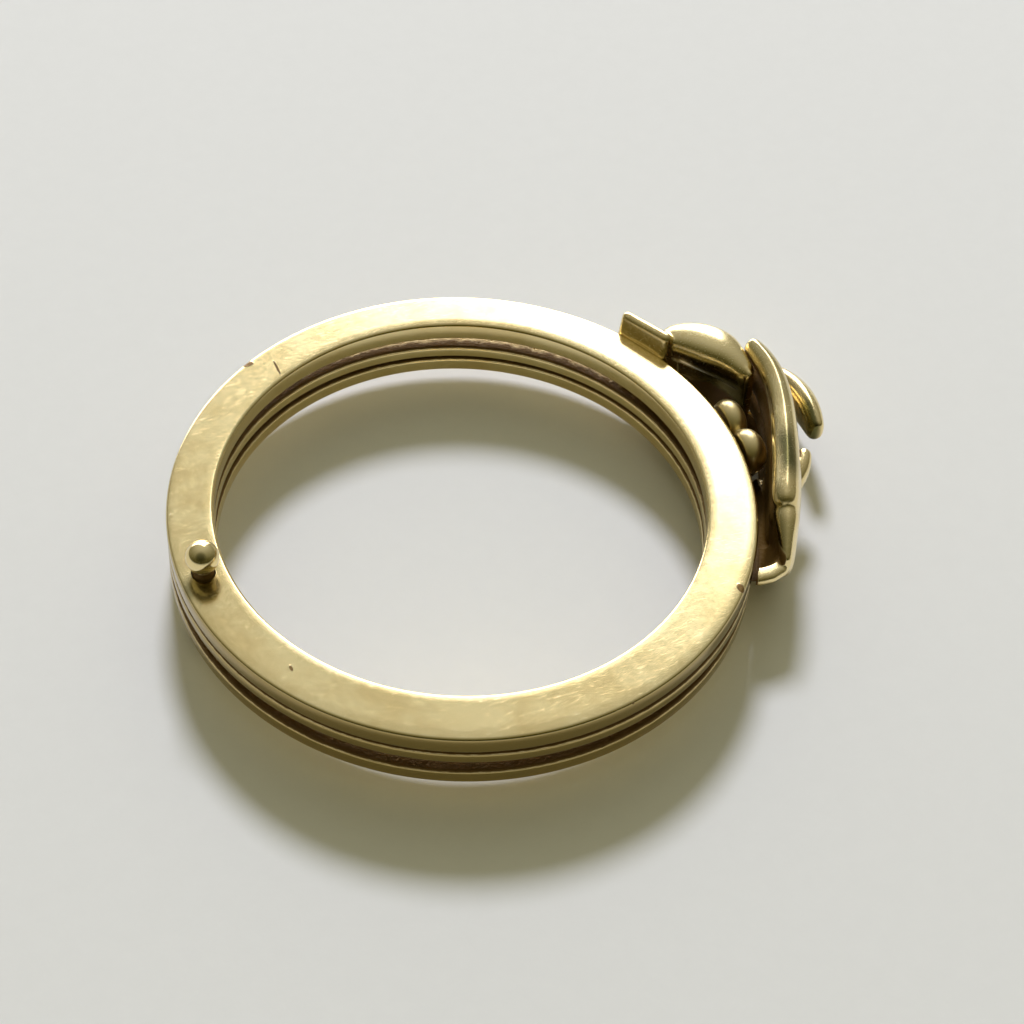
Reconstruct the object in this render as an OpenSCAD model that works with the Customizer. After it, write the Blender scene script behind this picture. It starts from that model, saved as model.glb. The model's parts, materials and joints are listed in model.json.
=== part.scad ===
// A gold ring of three flat hoops that turn on one rivet. The upper and the lower hoop
// each carry a cuffed hand, and the middle hoop carries a small heart that the clasped
// hands cover. The ring lies on its side. Millimetres throughout.
// The origin is the centre of the finger hole, halfway up the three hoops. +X points
// from the rivet to the middle of the clasped hands, and +Z is the ring's own axis.

/* [Hoops] */
// Inside diameter, where the finger goes
bore_d = 17; // [16:0.5:19]
// Width of each hoop from its inner wall to its outer wall
band_w = 1.69; // [1.55:0.01:1.75]
// Thickness of the upper hoop
upper_t = 0.75; // [0.6:0.05:0.8]
// Thickness of the middle hoop
middle_t = 0.5; // [0.4:0.05:0.6]
// Thickness of the lower hoop
lower_t = 0.6; // [0.5:0.05:0.7]
// Room that the middle hoop has between the other two
play = 0.5; // [0.4:0.05:0.55]
// Rounding of the hoops' edges
edge_r = 0.13; // [0.05:0.01:0.15]
// How far the outer wall is set towards -Y, where the worn hoops are widest
rim_shift = 0.16; // [0:0.01:0.2]
// Direction in which the tilted middle hoop lies lowest
low_side = 49; // [0:1:359]

/* [Rivet] */
// Diameter of the rivet's shank
shank_d = 0.76; // [0.6:0.02:0.8]
// Radial clearance of the shank in the hoops
shank_gap = 0.04; // [0.02:0.01:0.08]
// Diameter of the ball on top
ball_d = 1.15; // [1:0.01:1.3]
// Height of the ball's centre above the upper hoop
ball_lift = 0.8; // [0.68:0.01:1]
// Diameter of the neck below the ball
neck_d = 0.62; // [0.5:0.02:0.7]
// Diameter of the rounded head below the lower hoop
button_d = 1.24; // [1:0.02:1.4]

/* [Hands] */
// Overall height of each hand, measured along the finger
hand_h = 4.3; // [4:0.1:4.6]
// How far outside the hoops the first finger's mid-line runs, at the middle of the clasp
finger_out = 1.92; // [1.87:0.01:1.97]
// Thickness of a finger, from the palm side to the back
finger_t = 0.94; // [0.86:0.02:0.96]
// How far the two middle fingers stand out past the outer ones
finger_swell = 0.02; // [0:0.02:0.1]
// How far outside the hoops the left thumb's mid-line runs, where it lies over the fingers
thumb_out = 3.78; // [3.73:0.01:3.88]
// Clear space between each hand and the hoops that pass under it
pass_gap = 0.18; // [0.12:0.01:0.25]

/* [Heart] */
// Width of the heart
heart_w = 3.4; // [3.2:0.05:3.5]
// Height of the heart
heart_h = 3.5; // [3.2:0.05:3.6]
// Level of its middle
heart_z = -0.25; // [-0.3:0.05:-0.2]
// Place of its middle, towards the left hand
heart_y = -0.35; // [-0.45:0.05:-0.25]
// How far outside the hoops its front stands
heart_out = 0.65; // [0.55:0.01:0.68]

/* [Hidden] */
gold = "#d9bd6b";
bore_r = bore_d / 2;
rim_r = bore_r + band_w;
pivot_r = bore_r + band_w / 2;
sweep_r = norm([pivot_r, rim_shift]) + rim_r;
stack_h = upper_t + middle_t + lower_t + play;
top = stack_h / 2;
upper_z = top - upper_t;
lower_z = -top + lower_t;
middle_z = (upper_z + lower_z) / 2;
// The tilted middle hoop keeps this much of its room free
slack = 0.06;
tilt = asin((play - slack) / 2 / rim_r);
hand_top = hand_h / 2;
bore_fn = 96;
pin_fn = 48;
small = 0.01;
// How far joined forms run into each other
join = 0.1;

// The limbs of the hands are described about the rivet, because both hands turn on it.
// Columns: angle about the rivet, distance outside the farthest point that the hoops'
// outer walls reach from the rivet, level, half thickness, half width
ANGLE = 0;
OUT = 1;
LEVEL = 2;
HALF_T = 3;
HALF_W = 4;

// A finger's mid-line from the wrist to its tip. Columns: angle, step out from finger_out,
// thickness as a share of the finger's
FINGER_LINE = [
    [-14.1, -1.51, 1],
    [-11.1, -1.21, 1],
    [-8.2, -0.86, 1],
    [-4.4, -0.39, 0.98],
    [-1.5, 0, 0.95],
    [1.5, 0.38, 0.92],
    [4.3, 0.59, 0.85],
    [6.5, 0.55, 0.74],
];

// Columns: share of the hand's half height, swell, tip angle, half width
FINGERS = [
    [0.754, 0, 6.5, 0.53],
    [0.252, 1, 6.9, 0.56],
    [-0.252, 1, 6.5, 0.56],
    [-0.754, 0, 5.1, 0.53],
];

// Back of the right hand, from its cuff to the roots of its fingers
RIGHT_BACK = [
    [-17.4, 0.32, 0, 0.3, 0.4],
    [-16, 0.45, -0.25, 0.38, 1.05],
    [-14.8, 0.52, -0.1, 0.4, 1.45],
    [-13.8, 0.58, 0, 0.46, 1.8],
    [-10.5, 0.93, 0, 0.5, 1.92],
    [-7.5, 1.31, 0, 0.46, 1.86],
    [-4.9, 1.65, 0, 0.38, 1.7],
];

// Root of the right palm, at the level of the lower hoop that it is soldered to
RIGHT_ROOT = [
    [-16.4, -0.3, -0.88, 0.42, 0.28],
    [-13.4, 0.1, -0.88, 0.58, 0.28],
    [-10, 0.42, -0.88, 0.62, 0.28],
    [-7.4, 0.74, -0.88, 0.6, 0.28],
    [-6.2, 0.96, -0.88, 0.52, 0.28],
];

// Right thumb, laid along the back of its own hand
RIGHT_THUMB = [
    [-10.5, 0.68, -0.5, 0.3, 0.46],
    [-8.5, 1.12, -0.25, 0.34, 0.46],
    [-7.2, 1.64, 0, 0.34, 0.44],
    [-6, 2.11, 0.15, 0.34, 0.42],
    [-4.9, 2.36, 0.25, 0.28, 0.34],
];

// Back of the left hand, from its cuff to the edge that lies under the other's fingertips
LEFT_BACK = [
    [13.9, 0.28, 0.4, 0.4, 1.05],
    [12.2, 0.46, 0.3, 0.43, 1.32],
    [11, 0.66, 0.12, 0.54, 1.8],
    [9.8, 1, 0, 0.74, 2.1],
    [8.6, 1.42, 0, 0.74, 2.14],
    [7.3, 1.62, 0, 0.5, 2.12],
    [5.4, 1.62, 0, 0.36, 2.08],
    [4, 1.62, 0, 0.26, 1.95],
];

// Left thumb, from its root beside the fingertips to its tip. Columns: angle, step out from
// thumb_out, level, half thickness, half width
LEFT_THUMB_LINE = [
    [10.1, -2.32, -1.15, 0.46, 0.75],
    [10, -1.51, -1.1, 0.43, 0.72],
    [9.5, -0.73, -1.02, 0.41, 0.7],
    [7.8, -0.09, -0.88, 0.41, 0.72],
    [5.1, 0.14, -0.58, 0.42, 0.76],
    [2.5, 0.08, -0.32, 0.42, 0.74],
    [0.3, -0.1, -0.14, 0.38, 0.64],
    [-1.2, -0.26, -0.06, 0.32, 0.48],
];

// Balls that the cuffs are spanned round. Columns: angle about the ring's centre, distance
// outside the hoops' rim radius, level above the middle of the stack, ball radius
LEFT_CUFF = [
    [22.2, 0.07, 2, 0.13],
    [32.6, 0.08, 1.98, 0.13],
    [21.2, 0.88, 0.95, 0.2],
    [32, 0.8, 0.95, 0.2],
    [20.6, 1.2, -0.35, 0.22],
    [30.8, 0.96, -0.35, 0.22],
    [21.2, -0.17, -0.35, 0.22],
    [32.2, -0.16, -0.35, 0.22],
];
LEFT_CUFF_HOLLOW = [
    [16, 0.68, -0.8, 0.2],
    [29.6, 0.53, -0.8, 0.2],
    [16, -0.38, -0.8, 0.2],
    [29.6, -0.37, -0.8, 0.2],
    [17, 0.38, 0.1, 0.2],
    [28.8, 0.24, 0.1, 0.2],
];
RIGHT_CUFF = [
    [-28.4, 1.2, 0.34, 0.22],
    [-32.2, 1.2, 0.34, 0.22],
    [-34.4, 1.04, 0.34, 0.22],
    [-36.3, 0.74, 0.34, 0.22],
    [-37.6, 0.35, 0.34, 0.22],
    [-29, 0.14, 0.34, 0.22],
    [-30.8, -0.17, -0.85, 0.22],
    [-26.1, 0.73, -1.05, 0.22],
    [-24.1, 0.16, -1.93, 0.22],
];
RIGHT_CUFF_HOLLOW = [
    [-22.9, 0.88, 0.9, 0.2],
    [-32.2, 0.9, 0.9, 0.2],
    [-34.4, 0.66, 0.9, 0.2],
    [-35.7, 0.3, 0.9, 0.2],
    [-23, -0.48, 0.9, 0.2],
    [-35.8, -0.45, 0.9, 0.2],
    [-23.9, 0.4, -0.3, 0.2],
    [-31.2, 0.3, -0.3, 0.2],
];

// Point of a limb in plan, from its distance outside the hoops and its angle
function plan_point(out, angle) =
    [(sweep_r + out) * cos(angle) - pivot_r, (sweep_r + out) * sin(angle)];

// Smooth value between rows of a table, at position t counted in rows
function row_at(rows, i) = rows[max(0, min(len(rows) - 1, i))];
function blend(a, b, c, d, f) =
    0.5 * (2 * b + (c - a) * f + (2 * a - 5 * b + 4 * c - d) * f * f
        + (3 * b - a - 3 * c + d) * f * f * f);
function smooth_row(rows, t) =
    let (i = floor(t), f = t - i)
    blend(row_at(rows, i - 1), row_at(rows, i), row_at(rows, i + 1), row_at(rows, i + 2), f);

// Superellipse, rounder with a squareness of 1 and boxier below it
function curved(v, squareness) = sign(v) * pow(abs(v), squareness);

// One ring of points round a limb, upright, square to the limb's way in plan
function section(rows, t, shrink, shift, sides, squareness) =
    let (
        row = smooth_row(rows, t),
        here = plan_point(row[OUT], row[ANGLE]),
        step = 0.1,
        before = smooth_row(rows, max(0, t - step)),
        after = smooth_row(rows, min(len(rows) - 1, t + step)),
        way = plan_point(after[OUT], after[ANGLE]) - plan_point(before[OUT], before[ANGLE]),
        along = way / norm(way),
        side = [along[1], -along[0]] * (rows[0][ANGLE] > rows[len(rows) - 1][ANGLE] ? -1 : 1)
    )
    [for (k = [0:sides - 1])
        let (
            a = 360 * (k + 0.5) / sides,
            out = row[HALF_T] * shrink * curved(cos(a), squareness),
            up = row[HALF_W] * shrink * curved(sin(a), squareness),
            at = here + along * shift + side * out
        )
        [at[0], at[1], row[LEVEL] + up]];

// Steps of a limb's round tip, in degrees from its end ring
TIP_ANGLES = [35, 62, 80];

// A limb swept through its rows, flat at its root and rounded at its tip
module limb(rows, stations = 14, sides = 14, squareness = 0.8) {
    last = len(rows) - 1;
    tip = rows[last][HALF_T];
    body = [for (s = [0:stations]) section(rows, last * s / stations, 1, 0, sides, squareness)];
    round_end = [for (a = TIP_ANGLES)
        section(rows, last, cos(a), tip * sin(a), sides, squareness)];
    rings = concat(body, round_end);
    points = [for (r = rings) each r];
    count = len(rings);
    turn = rows[0][ANGLE] > rows[last][ANGLE];
    walls = [for (r = [0:count - 2], k = [0:sides - 1])
        let (a = r * sides + k, b = r * sides + (k + 1) % sides)
        each [[a, b, b + sides], [a, b + sides, a + sides]]];
    root = [for (k = [1:sides - 2]) [0, k + 1, k]];
    end = (count - 1) * sides;
    cap = [for (k = [1:sides - 2]) [end, end + k, end + k + 1]];
    faces = concat(walls, root, cap);
    polyhedron(points, turn ? [for (f = faces) [f[2], f[1], f[0]]] : faces, convexity = 6);
}

// Quarter turn of a rounded corner about its centre, turning on or back
function corner(x, y, from, way = 1, steps = 4) =
    [for (s = [0:steps])
        let (a = from + way * 90 * s / steps)
        [x + edge_r * cos(a), y + edge_r * sin(a)]];

// One hoop, lying flat from level z, with its edges rounded
module hoop(z, t, in_r = bore_r) {
    outer_x = rim_r - edge_r;
    inner_x = in_r + edge_r;
    disc = concat(
        [[0, 0]],
        corner(outer_x, edge_r, 270),
        corner(outer_x, t - edge_r, 0),
        [[0, t]]);
    hole = concat(
        [[0, -1], [inner_x, -1]],
        corner(inner_x, edge_r, 270, way = -1),
        corner(inner_x, t - edge_r, 180, way = -1),
        [[inner_x, t + 1], [0, t + 1]]);
    translate([0, 0, z])
        difference() {
            translate([0, -rim_shift, 0])
                rotate_extrude($fn = bore_fn)
                    polygon(disc);
            rotate_extrude($fn = bore_fn)
                polygon(hole);
        }
}

// Hole for the rivet through a hoop
module rivet_hole() {
    translate([-pivot_r, 0, -stack_h])
        cylinder(d = shank_d + 2 * shank_gap, h = 2 * stack_h, $fn = pin_fn);
}

// Rounded form spanned between balls set round the ring
module spanned(posts) {
    hull()
        for (p = posts)
            rotate([0, 0, p[0]])
                translate([rim_r + p[1], 0, p[2]])
                    sphere(r = p[3], $fn = 12);
}

// Cuff with an open hollow, each spanned between its own balls
module cuff(posts, hollow) {
    difference() {
        spanned(posts);
        spanned(hollow);
    }
}

// Round block about the axis of the hoops' outer walls, from one level to another
module drum(r, from, to) {
    translate([0, -rim_shift, from])
        cylinder(r = r, h = to - from, $fn = bore_fn);
}

// One finger of the right hand, numbered from the top
module finger(number) {
    f = FINGERS[number];
    last = len(FINGER_LINE) - 1;
    wrist = FINGER_LINE[0][0];
    stretch = (f[2] - wrist) / (FINGER_LINE[last][0] - wrist);
    rows = [for (line = FINGER_LINE)
        [wrist + (line[0] - wrist) * stretch,
            finger_out + line[1] + finger_swell * f[1],
            hand_top * f[0],
            finger_t / 2 * line[2],
            f[3] * (line[2] + 1) / 2]];
    limb(rows, stations = 15, sides = 12, squareness = 0.66);
}

// The hand with the crossing thumb, on the upper hoop and clear of the other two
module left_hand() {
    thumb = [for (line = LEFT_THUMB_LINE) line + [0, thumb_out, 0, 0, 0]];
    resize([0, 0, hand_h])
        difference() {
            union() {
                cuff(LEFT_CUFF, LEFT_CUFF_HOLLOW);
                limb(LEFT_BACK, stations = 14, sides = 20, squareness = 0.68);
                limb(thumb, stations = 16, sides = 12, squareness = 0.9);
            }
            drum(rim_r, top, hand_h);
            drum(rim_r + pass_gap, -hand_h, upper_z);
        }
}

// The hand with the long fingers, on the lower hoop and clear of the other two
module right_hand() {
    resize([0, 0, hand_h])
        difference() {
            union() {
                cuff(RIGHT_CUFF, RIGHT_CUFF_HOLLOW);
                limb(RIGHT_BACK, stations = 14, sides = 20, squareness = 0.7);
                limb(RIGHT_ROOT, stations = 8, sides = 12, squareness = 0.5);
                limb(RIGHT_THUMB, stations = 9, sides = 10, squareness = 0.9);
                for (n = [0:len(FINGERS) - 1])
                    finger(n);
            }
            drum(rim_r, -hand_h, -top);
            drum(rim_r + pass_gap, lower_z, hand_h);
        }
}

// Heart, facing out, with its lobes up and its front at x = 0
module heart() {
    lobe_r = 0.92;
    point_r = 0.3;
    point_back = 0.08;
    for (side = [-1, 1])
        hull() {
            translate([-lobe_r, side * (heart_w / 2 - lobe_r), heart_h / 2 - lobe_r])
                sphere(r = lobe_r, $fn = 32);
            translate([-point_back - point_r, 0, -heart_h / 2 + point_r])
                sphere(r = point_r, $fn = 16);
        }
}

module upper_hoop() {
    color(gold)
        difference() {
            union() {
                hoop(upper_z, upper_t);
                left_hand();
            }
            rivet_hole();
        }
}

module middle_hoop() {
    front = sweep_r - pivot_r + heart_out;
    color(gold)
        difference() {
            union() {
                translate([0, 0, middle_z])
                    rotate([0, 0, low_side])
                        rotate([0, tilt, 0])
                            rotate([0, 0, -low_side])
                                hoop(-middle_t / 2, middle_t, bore_r + small);
                heart_seat();
                difference() {
                    translate([front, heart_y, heart_z])
                        heart();
                    // Room for the other hoops to turn behind the heart
                    translate([-pivot_r, 0, -hand_h])
                        cylinder(r = sweep_r + pass_gap / 2, h = 2 * hand_h, $fn = bore_fn);
                }
            }
            rivet_hole();
        }
}

// Low step on the middle hoop's rim that carries the heart
module heart_seat() {
    seat_w = heart_w * 0.6;
    seat_t = middle_t - 0.15;
    // The step starts inside the hoop and ends inside the heart
    root = 0.5;
    reach = heart_out - 0.3;
    drop = rim_r * sin(tilt) * cos(low_side);
    translate([rim_r - root, heart_y - seat_w / 2, middle_z - drop - seat_t / 2])
        cube([root + reach, seat_w, seat_t]);
}

module lower_hoop() {
    color(gold)
        difference() {
            union() {
                hoop(-top, lower_t);
                right_hand();
            }
            rivet_hole();
        }
}

// Rivet with a ball above the hoops and a round button below them
module rivet() {
    button_r = button_d / 2;
    button_z = -hand_top + button_r;
    face_z = -top - 0.05;
    ball_z = top + ball_lift;
    color(gold)
        translate([-pivot_r, 0, 0])
            union() {
                translate([0, 0, face_z - join])
                    cylinder(d = shank_d, h = top - face_z + join, $fn = pin_fn);
                translate([0, 0, top - join])
                    cylinder(d = neck_d, h = ball_z - top + join, $fn = pin_fn);
                translate([0, 0, ball_z])
                    sphere(d = ball_d, $fn = pin_fn);
                intersection() {
                    translate([0, 0, button_z])
                        sphere(r = button_r, $fn = pin_fn);
                    translate([0, 0, -2 * hand_h])
                        cylinder(d = 2 * button_d, h = 2 * hand_h + face_z, $fn = pin_fn);
                }
            }
}

upper_hoop();
middle_hoop();
lower_hoop();
rivet();
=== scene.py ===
"""A worn yellow gold ring of three hoops on a rivet, with two clasped hands and a small heart."""
import json
import math

import bpy
from bpy.props import FloatProperty, FloatVectorProperty, IntProperty, PointerProperty
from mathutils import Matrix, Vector


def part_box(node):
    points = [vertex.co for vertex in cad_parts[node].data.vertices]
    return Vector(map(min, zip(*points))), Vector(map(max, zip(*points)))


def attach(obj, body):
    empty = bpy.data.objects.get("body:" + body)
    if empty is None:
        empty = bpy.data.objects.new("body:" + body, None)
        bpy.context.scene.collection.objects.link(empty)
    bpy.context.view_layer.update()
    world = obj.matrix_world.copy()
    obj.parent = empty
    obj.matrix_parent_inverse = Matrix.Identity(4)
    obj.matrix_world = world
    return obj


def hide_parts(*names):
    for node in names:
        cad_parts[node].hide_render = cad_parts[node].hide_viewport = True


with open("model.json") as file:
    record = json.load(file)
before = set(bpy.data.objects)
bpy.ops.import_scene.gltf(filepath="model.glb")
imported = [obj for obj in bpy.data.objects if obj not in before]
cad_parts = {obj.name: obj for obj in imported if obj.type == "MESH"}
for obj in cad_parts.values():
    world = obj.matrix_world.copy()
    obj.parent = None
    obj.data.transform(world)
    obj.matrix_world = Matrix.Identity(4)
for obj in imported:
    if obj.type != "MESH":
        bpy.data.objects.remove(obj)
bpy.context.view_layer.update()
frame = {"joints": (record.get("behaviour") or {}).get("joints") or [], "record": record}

bl_info = {
    "name": "Gold ring with clasped hands",
    "version": (1, 0, 0),
    "blender": (4, 5, 0),
    "location": "View3D > Sidebar > Ring",
    "description": "Dresses the frame of a three-hoop gold ring: hoops, hands, heart and rivet",
    "category": "Mesh",
}

# Pieces are modelled in millimetres, where Blender's tools keep their precision, and each
# is brought to metres when it is finished.
MM = 0.001
BORE_R = frame["record"]["mounts"][0]["dims"]["r_mm"]
PIVOT_R = -frame["joints"][0]["pos_m"][0] / MM
FOOT_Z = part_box("rivet")[0].z / MM
BALL_TOP_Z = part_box("rivet")[1].z / MM

# Margins in millimetres: between the rivet's shank and a hoop's bore, by which the tilted
# middle hoop's bore is wider, depth of a hand in its own hoop's wall, between a hand and the
# floor, beyond every piece, and within which two points are one
BORE_PLAY = 0.04
BORE_EASE = 0.01
HELD = 0.02
HAND_CLEAR = 0.005
FAR = 4.0
CLOSE = 1e-4

# Place and aim in millimetres, and roll in degrees
CAMERA_PLACE = (-23.876, -53.147, 66.267)
CAMERA_TARGET = (1.356, -1.229, 1.175)
CAMERA_ROLL = 3.584

# Columns of a limb's rows: angle about the rivet in degrees, distance outside the farthest
# point that the hoops reach from the rivet, level, half thickness, half width
ANGLE, OUT, LEVEL, HALF_T, HALF_W = range(5)

# A limb's section is larger by this factor, as smoothing draws it in. Its tip is rounded in
# steps: distance past the last row in half thicknesses, and share of the thickness left.
SWELL = 1.05
TIP = ((0.55, 0.86), (0.92, 0.5))

# A finger's mid-line from the wrist to its tip: angle, step out, share of the thickness
FINGER_LINE = [
    (-14.1, -1.51, 1.0),
    (-11.1, -1.21, 1.0),
    (-8.2, -0.86, 1.0),
    (-4.4, -0.39, 0.98),
    (-1.5, 0.0, 0.95),
    (1.5, 0.38, 0.92),
    (4.3, 0.59, 0.85),
    (6.5, 0.55, 0.74),
]

# The four fingers from the top down: share of the hand's half height, further step out,
# angle of the tip, half width
FINGERS = [
    (0.754, 0.0, 6.5, 0.53),
    (0.252, 0.02, 6.9, 0.56),
    (-0.252, 0.02, 6.5, 0.56),
    (-0.754, -0.15, 5.1, 0.53),
]

# Hand on the lower hoop: its back, the root of the last finger, the heel of the wrist and
# the thumb
RIGHT_BACK = [
    (-17.4, 0.32, 0.0, 0.3, 0.4),
    (-16.0, 0.45, -0.25, 0.38, 1.05),
    (-14.8, 0.52, -0.1, 0.4, 1.45),
    (-13.8, 0.58, 0.0, 0.46, 1.8),
    (-10.5, 0.93, 0.0, 0.5, 1.92),
    (-7.5, 1.31, 0.0, 0.46, 1.86),
    (-4.9, 1.65, 0.0, 0.38, 1.7),
]
RIGHT_ROOT = [
    (-16.4, -0.3, -0.88, 0.42, 0.28),
    (-13.4, 0.1, -0.88, 0.58, 0.28),
    (-10.0, 0.42, -0.88, 0.62, 0.28),
    (-7.4, 0.74, -0.88, 0.6, 0.28),
    (-6.2, 0.96, -0.88, 0.52, 0.28),
    (-5.2, 1.05, -1.0, 0.5, 0.28),
    (-4.4, 1.1, -1.05, 0.46, 0.26),
]
RIGHT_HEEL = [
    (-12.4, 0.62, 1.14, 0.42, 0.5),
    (-13.6, 0.54, 1.21, 0.43, 0.5),
    (-14.9, 0.46, 1.22, 0.4, 0.5),
    (-16.2, 0.38, 1.05, 0.29, 0.42),
    (-18.4, 0.28, 0.6, 0.2, 0.34),
]
RIGHT_THUMB = [
    (-10.5, 0.68, -0.5, 0.3, 0.46),
    (-8.5, 1.12, -0.25, 0.34, 0.46),
    (-7.2, 1.64, 0.0, 0.34, 0.44),
    (-6.0, 2.11, 0.15, 0.34, 0.42),
    (-4.9, 2.36, 0.25, 0.28, 0.34),
]

# Hand on the upper hoop: its back, the roll along the upper edge and the thumb
LEFT_BACK = [
    (13.9, 0.28, 0.4, 0.4, 1.05),
    (12.2, 0.46, 0.3, 0.43, 1.32),
    (11.0, 0.78, 0.0, 0.42, 1.65),
    (9.8, 1.22, -0.1, 0.52, 1.95),
    (8.6, 1.56, -0.1, 0.5, 1.95),
    (7.3, 1.66, -0.1, 0.4, 1.9),
    (5.4, 1.66, -0.1, 0.3, 1.85),
    (4.0, 1.66, -0.1, 0.22, 1.75),
]
LEFT_ROLL = [
    (13.6, 0.1, 1.2, 0.34, 0.36),
    (12.3, 0.42, 1.3, 0.56, 0.56),
    (10.9, 0.85, 1.34, 0.74, 0.7),
    (9.3, 1.18, 1.36, 0.8, 0.76),
    (7.7, 1.44, 1.36, 0.76, 0.76),
    (6.4, 1.54, 1.3, 0.58, 0.7),
    (5.0, 1.66, 1.2, 0.42, 0.6),
]
LEFT_THUMB = [
    (10.1, 1.46, -1.15, 0.46, 0.75),
    (10.0, 2.27, -1.1, 0.43, 0.72),
    (9.5, 3.05, -1.02, 0.41, 0.7),
    (7.8, 3.69, -0.88, 0.41, 0.72),
    (5.1, 3.92, -0.58, 0.42, 0.76),
    (2.5, 3.86, -0.32, 0.42, 0.74),
    (0.3, 3.68, -0.14, 0.38, 0.64),
    (-1.2, 3.52, -0.06, 0.32, 0.48),
]

# Balls that the cuffs are spanned round: angle about the ring's centre, distance outside
# the rim, level, ball radius
LEFT_CUFF = [
    (22.4, 0.26, 1.8, 0.22),
    (32.0, 0.26, 1.73, 0.22),
    (21.2, 0.88, 0.95, 0.2),
    (32.0, 0.8, 0.95, 0.2),
    (20.6, 1.2, -0.35, 0.22),
    (30.8, 0.96, -0.35, 0.22),
    (21.2, -0.17, -0.35, 0.22),
    (32.2, -0.16, -0.35, 0.22),
]
LEFT_CUFF_HOLLOW = [
    (16.0, 0.68, -0.8, 0.2),
    (29.6, 0.53, -0.8, 0.2),
    (16.0, -0.38, -0.8, 0.2),
    (29.6, -0.37, -0.8, 0.2),
    (17.0, 0.38, 0.1, 0.2),
    (28.8, 0.24, 0.1, 0.2),
]
RIGHT_CUFF = [
    (-28.4, 1.2, 0.34, 0.22),
    (-32.2, 1.2, 0.34, 0.22),
    (-34.4, 1.04, 0.34, 0.22),
    (-36.3, 0.74, 0.34, 0.22),
    (-37.6, 0.35, 0.34, 0.22),
    (-29.0, 0.14, 0.34, 0.22),
    (-30.8, -0.17, -0.85, 0.22),
    (-26.1, 0.73, -1.05, 0.22),
    (-24.1, 0.16, -1.93, 0.22),
]
RIGHT_CUFF_HOLLOW = [
    (-22.9, 0.88, 0.9, 0.2),
    (-32.2, 0.9, 0.9, 0.2),
    (-34.4, 0.66, 0.9, 0.2),
    (-35.7, 0.3, 0.9, 0.2),
    (-23.0, -0.48, 0.9, 0.2),
    (-35.8, -0.45, 0.9, 0.2),
    (-23.9, 0.05, -0.3, 0.2),
    (-31.2, -0.05, -0.3, 0.2),
    (-23.9, 0.4, -0.3, 0.2),
    (-31.2, 0.3, -0.3, 0.2),
]

# Small pits and dark marks on the upper hoop: place and radius in millimetres, and factors of
# the distance along each axis, where less than 1 draws the mark out
PITS = [
    ((7.2, -7.15, 1.175), 0.16, (1.0, 0.55, 1.0)),
    ((3.59, -10.14, 1.0), 0.1, (1.0, 1.0, 0.5)),
    ((4.37, -9.65, 1.1), 0.07, (1.0, 1.0, 1.0)),
    ((1.79, -10.15, 1.1), 0.06, (1.0, 1.0, 1.0)),
    ((-8.0, -4.85, 1.175), 0.07, (1.0, 0.4, 1.0)),
    ((-4.72, 8.74, 1.175), 0.14, (0.5, 0.9, 1.0)),
    ((-3.8, 8.2, 1.175), 0.06, (1.0, 0.12, 1.0)),
]


class RingSizes(bpy.types.PropertyGroup):
    """Sizes of the ring's own forms"""

    band_width: FloatProperty(
        name="Band width", description="Width of each hoop", default=1.69 * MM, unit="LENGTH")
    upper_thickness: FloatProperty(
        name="Upper hoop", description="Thickness of the upper hoop",
        default=0.75 * MM, unit="LENGTH")
    middle_thickness: FloatProperty(
        name="Middle hoop", description="Thickness of the middle hoop",
        default=0.5 * MM, unit="LENGTH")
    lower_thickness: FloatProperty(
        name="Lower hoop", description="Thickness of the lower hoop",
        default=0.6 * MM, unit="LENGTH")
    stack_height: FloatProperty(
        name="Stack height", description="Height of the three closed hoops",
        default=2.35 * MM, unit="LENGTH")
    edge_radius: FloatProperty(
        name="Edge rounding", description="Rounding of the hoops' edges",
        default=0.13 * MM, unit="LENGTH")
    rim_shift: FloatProperty(
        name="Rim shift", description="Set of the outer wall towards -Y",
        default=0.16 * MM, unit="LENGTH")
    low_side: FloatProperty(
        name="Low side", description="Direction in which the middle hoop lies lowest",
        default=math.radians(49), subtype="ANGLE")
    tilt: FloatProperty(
        name="Tilt", description="Tilt of the middle hoop",
        default=math.radians(1.237), subtype="ANGLE")
    ball_diameter: FloatProperty(
        name="Ball", description="Diameter of the rivet's ball",
        default=1.15 * MM, unit="LENGTH")
    neck_diameter: FloatProperty(
        name="Neck", description="Diameter of the neck below the ball",
        default=0.62 * MM, unit="LENGTH")
    shank_diameter: FloatProperty(
        name="Shank", description="Diameter of the rivet's shank",
        default=0.76 * MM, unit="LENGTH")
    button_diameter: FloatProperty(
        name="Button", description="Diameter of the rivet's lower head",
        default=1.24 * MM, unit="LENGTH")
    finger_thickness: FloatProperty(
        name="Finger thickness", description="From the palm side to the back of a finger",
        default=0.94 * MM, unit="LENGTH")
    finger_out: FloatProperty(
        name="Finger distance", description="How far outside the hoops the fingers run",
        default=1.92 * MM, unit="LENGTH")
    pass_gap: FloatProperty(
        name="Passing gap", description="Clear space between a hand and the hoops that pass it",
        default=0.18 * MM, unit="LENGTH")
    heart_width: FloatProperty(
        name="Heart width", description="Width of the heart across its two lobes",
        default=3.2 * MM, unit="LENGTH")
    heart_height: FloatProperty(
        name="Heart height", description="Height of the heart, before it is rounded",
        default=3.5 * MM, unit="LENGTH")
    heart_out: FloatProperty(
        name="Heart distance", description="How far outside the hoops the heart's front stands",
        default=1.0 * MM, unit="LENGTH")
    grain: FloatProperty(
        name="Surface grain", description="Mesh spacing of the soldered hands",
        default=0.05 * MM, unit="LENGTH")
    steps: IntProperty(
        name="Hoop steps", description="Stations round each hoop", default=288, min=96)


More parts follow.
